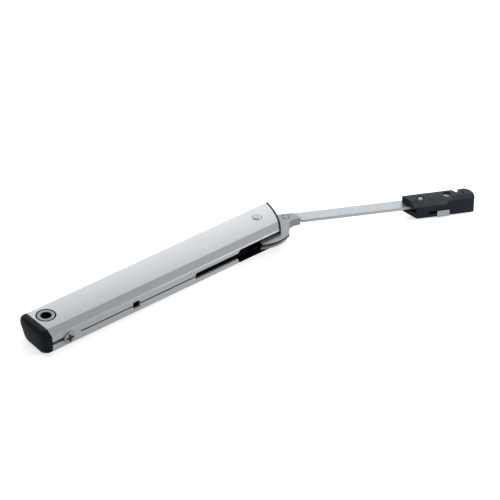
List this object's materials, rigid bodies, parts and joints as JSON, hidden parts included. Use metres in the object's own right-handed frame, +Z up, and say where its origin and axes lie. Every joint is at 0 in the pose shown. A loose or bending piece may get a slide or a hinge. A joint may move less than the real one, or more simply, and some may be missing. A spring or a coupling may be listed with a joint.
{
  "type": "lift-up flap fitting",
  "caption": "Spring lift-up flap fitting for cabinets: flat metal housing, swinging cast elbow with a steel arm, and a swivelling click-on connector.",
  "frame": {"origin": "axis of the fixing bush at the underside", "axes": "+Z up out of the flat side, +X along the housing to the lever end, +Y to the plain side"},
  "size_m": [0.377, 0.0965, 0.0208],
  "materials": {
    "housing_metal": "satin",
    "black_plastic": "satin",
    "grey_plastic": "satin",
    "bright_steel": "satin",
    "zinc_steel": "satin",
    "strip_steel": "satin",
    "spring_steel": "satin",
    "zinc_cast": "matte",
    "bronze": "satin"
  },
  "bodies": {
    "base": {"housing": "housing_metal", "end_cap": "black_plastic", "bush_grommet": "black_plastic", "rear_block": "black_plastic", "block_screw": "zinc_steel", "guide_rod_near": "zinc_steel", "guide_rod_far": "zinc_steel", "spring_near": "spring_steel", "spring_far": "spring_steel", "upper_guide": "black_plastic", "lower_guide": "black_plastic", "pivot_pin": "bright_steel"},
    "bush": {"fixing_bush": "bright_steel"},
    "carriage_body": {"carriage": "black_plastic"},
    "lever": {"lever_elbow": "zinc_cast", "pivot_bush": "bronze", "roller_pin": "bright_steel", "arm_strip": "strip_steel", "arm_rivet": "zinc_steel"},
    "roller": {"crank_roller": "zinc_steel"},
    "connector": {"clip_body": "grey_plastic", "clip_rivet": "bright_steel", "clip_screw": "bright_steel", "catch_spring": "spring_steel"},
    "catch": {"catch_plate": "bright_steel"}
  },
  "joints": [
    {"name": "lever_swing", "type": "hinge", "parent": "base", "child": "lever", "pos_m": [0.203, 0, 0.01], "axis": [0, 0, 1], "range_deg": [-78, 0], "stiffness_Nm_per_rad": 0.6, "springref_deg": 65.89},
    {"name": "carriage_slide", "type": "slide", "parent": "base", "child": "carriage_body", "axis": [1, 0, 0], "range_m": [-0.0121, 0], "deforming": ["spring_near", "spring_far"]},
    {"name": "roller_spin", "type": "hinge", "parent": "lever", "child": "roller", "pos_m": [0.19415, -0.01738, 0.01], "axis": [0, 0, 1], "continuous": true},
    {"name": "bush_swivel", "type": "hinge", "parent": "base", "child": "bush", "pos_m": [0, 0, 0.01], "axis": [0, 0, 1], "continuous": true},
    {"name": "clip_pivot", "type": "hinge", "parent": "lever", "child": "connector", "pos_m": [0.32201, -0.05959, 0.01], "axis": [0, 0, 1], "range_deg": [0, 90]},
    {"name": "catch_slide", "type": "slide", "parent": "connector", "child": "catch", "axis": [-0.8906, 0.4548, 0], "range_m": [0, 0.004], "stiffness_N_per_m": 200, "springref_m": -0.01, "deforming": ["catch_spring"]}
  ],
  "couplings": [
    {"joint": "carriage_slide", "follows": "lever_swing", "m_per_rad": 0.0088147}
  ]
}
